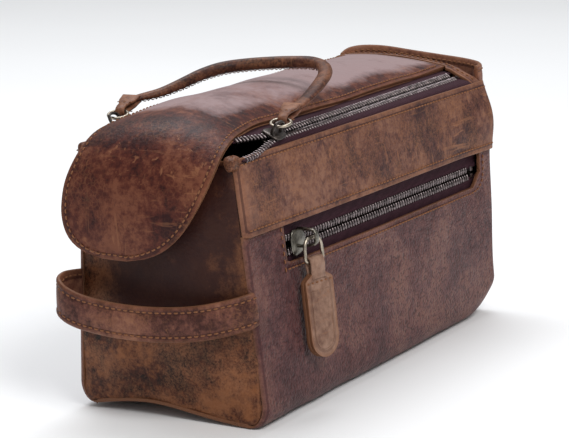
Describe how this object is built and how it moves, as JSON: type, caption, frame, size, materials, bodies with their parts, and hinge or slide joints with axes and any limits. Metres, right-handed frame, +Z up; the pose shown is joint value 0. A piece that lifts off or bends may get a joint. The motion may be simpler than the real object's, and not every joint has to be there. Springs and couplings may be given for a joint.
{
  "type": "shaving kit bag",
  "caption": "Leather shaving kit bag with twin top zippers, hanging end flap, zipped side pocket, rolled top handle and a grab strap on each end.",
  "frame": {"origin": "centre of the base's underside, on the surface the bag stands on", "axes": "+X along the bag from the flap end to the far end, the pocket side faces -Y, +Z up"},
  "size_m": [0.2934, 0.1113, 0.1529],
  "materials": {
    "crazy_leather": "distressed pull-up leather, waxy sheen",
    "pebbled_leather": "pebbled grain, waxy sheen",
    "strap_leather": "distressed, with tan cut edges",
    "lining_fabric": "plain woven cotton",
    "zipper_tape": "herringbone woven tape",
    "antique_brass": "antiqued, worn bright on the high spots",
    "board": "matt",
    "core_cord": "twisted cotton"
  },
  "bodies": {
    "root": {"base_panel": "crazy_leather", "base_stiffener": "board", "base_lining": "lining_fabric", "front_lower_panel": "pebbled_leather", "back_lower_panel": "pebbled_leather", "front_yoke": "crazy_leather", "back_yoke": "crazy_leather", "front_lining": "lining_fabric", "back_lining": "lining_fabric", "near_end_panel": "crazy_leather", "far_end_panel": "crazy_leather", "far_top_strip": "crazy_leather", "near_end_lining": "lining_fabric", "far_end_lining": "lining_fabric", "near_grab_strap": "strap_leather", "far_grab_strap": "strap_leather", "front_outer_tape": "zipper_tape", "back_outer_tape": "zipper_tape", "front_outer_teeth": "antique_brass", "back_outer_teeth": "antique_brass", "front_far_stop": "antique_brass", "back_far_stop": "antique_brass", "pocket_upper_tape": "zipper_tape", "pocket_lower_tape": "zipper_tape", "pocket_upper_teeth": "antique_brass", "pocket_lower_teeth": "antique_brass", "pocket_stops": "antique_brass", "pocket_front_ply": "lining_fabric", "pocket_back_ply": "lining_fabric"},
    "lid": {"lid_leather": "crazy_leather", "lid_lining": "lining_fabric", "front_inner_tape": "zipper_tape", "back_inner_tape": "zipper_tape", "front_inner_teeth": "antique_brass", "back_inner_teeth": "antique_brass"},
    "flap": {"flap_leather": "crazy_leather", "flap_lining": "lining_fabric"},
    "front_slider": {"front_slider_body": "antique_brass"},
    "back_slider": {"back_slider_body": "antique_brass"},
    "front_ring": {"front_ring": "antique_brass"},
    "back_ring": {"back_ring": "antique_brass"},
    "handle": {"handle_roll": "strap_leather", "handle_core": "core_cord", "front_handle_tab": "strap_leather", "back_handle_tab": "strap_leather"},
    "pocket_slider": {"pocket_slider_body": "antique_brass"},
    "pocket_ring": {"pocket_pull_ring": "antique_brass"},
    "pocket_tag": {"pocket_pull_tag": "strap_leather"}
  },
  "joints": [
    {"name": "lid_hinge", "type": "hinge", "parent": "root", "child": "lid", "pos_m": [0.1164, 0, 0.135], "axis": [0, 1, 0], "range_deg": [0, 80]},
    {"name": "flap_hinge", "type": "hinge", "parent": "lid", "child": "flap", "pos_m": [-0.1126, 0, 0.1395], "axis": [0, 1, 0], "range_deg": [0, 60]},
    {"name": "front_slider_slide", "type": "slide", "parent": "lid", "child": "front_slider", "axis": [1, 0, 0], "range_m": [0, 0.186]},
    {"name": "back_slider_slide", "type": "slide", "parent": "lid", "child": "back_slider", "axis": [1, 0, 0], "range_m": [0, 0.186]},
    {"name": "front_ring_swing", "type": "hinge", "parent": "front_slider", "child": "front_ring", "pos_m": [-0.084, -0.03373, 0.13092], "axis": [0.2017, -0.9794, -0.0102], "range_deg": [0, 80]},
    {"name": "back_ring_swing", "type": "hinge", "parent": "back_slider", "child": "back_ring", "pos_m": [-0.1, 0.04394, 0.13173], "axis": [0.2017, -0.9794, -0.0102], "range_deg": [0, 80]},
    {"name": "handle_swing", "type": "hinge", "parent": "front_ring", "child": "handle", "pos_m": [-0.07558, -0.03202, 0.13302], "axis": [0.2017, -0.9794, -0.0102], "range_deg": [0, 72]},
    {"name": "pocket_slider_slide", "type": "slide", "parent": "root", "child": "pocket_slider", "axis": [0.9998, -0.0177, 0], "range_m": [0, 0.178]},
    {"name": "pocket_ring_swing", "type": "hinge", "parent": "pocket_slider", "child": "pocket_ring", "pos_m": [-0.08067, -0.04884, 0.08013], "axis": [-0.9743, 0.2234, -0.0267], "range_deg": [0, 120]},
    {"name": "pocket_tag_swing", "type": "hinge", "parent": "pocket_ring", "child": "pocket_tag", "pos_m": [-0.08067, -0.05015, 0.06921], "axis": [-0.9743, 0.2234, -0.0267], "range_deg": [0, 40]}
  ],
  "couplings": [
    {"joint": "front_slider_slide", "follows": "lid_hinge", "m_per_rad": 0.13321},
    {"joint": "back_slider_slide", "follows": "lid_hinge", "m_per_rad": 0.13321},
    {"joint": "front_ring_swing", "follows": "lid_hinge", "ratio": 1},
    {"joint": "back_ring_swing", "follows": "lid_hinge", "ratio": 1}
  ]
}
